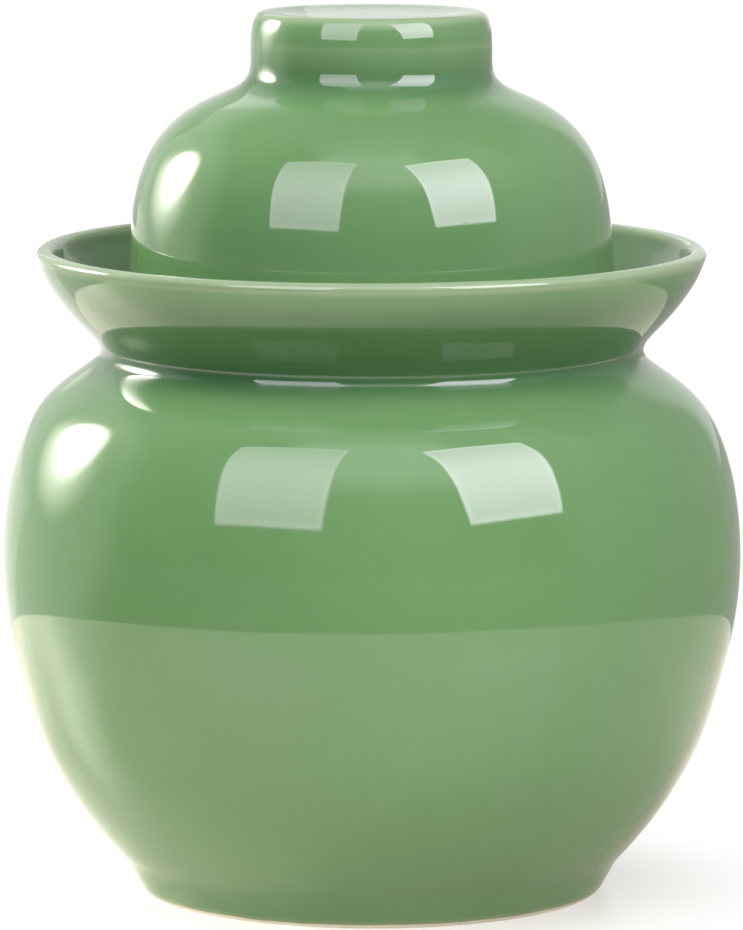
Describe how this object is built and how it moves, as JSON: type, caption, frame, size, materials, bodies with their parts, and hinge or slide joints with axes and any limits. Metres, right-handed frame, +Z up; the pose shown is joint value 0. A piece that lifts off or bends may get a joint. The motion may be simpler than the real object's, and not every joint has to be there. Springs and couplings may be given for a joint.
{
  "type": "ceramic crock fermenter",
  "caption": "Round-bellied glazed ceramic fermenting crock with a flared water-seal moat, a bowl-shaped outer lid with a flat knob, an inner lid and half-moon weights.",
  "frame": {"origin": "centre of the foot ring, on the plane it rests on", "axes": "+Z up along the crock's axis of turning, +Y to the back, +X to the right; the weights' split runs along Y"},
  "size_m": [0.19, 0.19, 0.2267],
  "materials": {
    "crock_glaze": "gloss leaf-green glaze, paler where it thins on the lips, with a bare buff foot ring",
    "outer_lid_glaze": "gloss leaf-green glaze, paler on the knob's edge, with a bare buff rim",
    "inner_lid_glaze": "gloss leaf-green glaze",
    "weight_stoneware": "bare cream stoneware, satin"
  },
  "bodies": {
    "crock": {"crock_body": "crock_glaze"},
    "inner_lid": {"inner_lid": "inner_lid_glaze"},
    "outer_lid": {"outer_lid": "outer_lid_glaze"},
    "weight_left": {"weight_stone_left": "weight_stoneware"},
    "weight_right": {"weight_stone_right": "weight_stoneware"}
  },
  "joints": [
    {"name": "inner_lid_lift", "type": "slide", "parent": "crock", "child": "inner_lid", "axis": [0, 0, 1], "range_m": [0, 0.09]},
    {"name": "outer_lid_lift", "type": "slide", "parent": "inner_lid", "child": "outer_lid", "axis": [0, 0, 1], "range_m": [0, 0.13]},
    {"name": "weight_left_lift", "type": "slide", "parent": "crock", "child": "weight_left", "axis": [0, 0, 1], "range_m": [0, 0.1]},
    {"name": "weight_right_lift", "type": "slide", "parent": "crock", "child": "weight_right", "axis": [0, 0, 1], "range_m": [0, 0.1]}
  ]
}
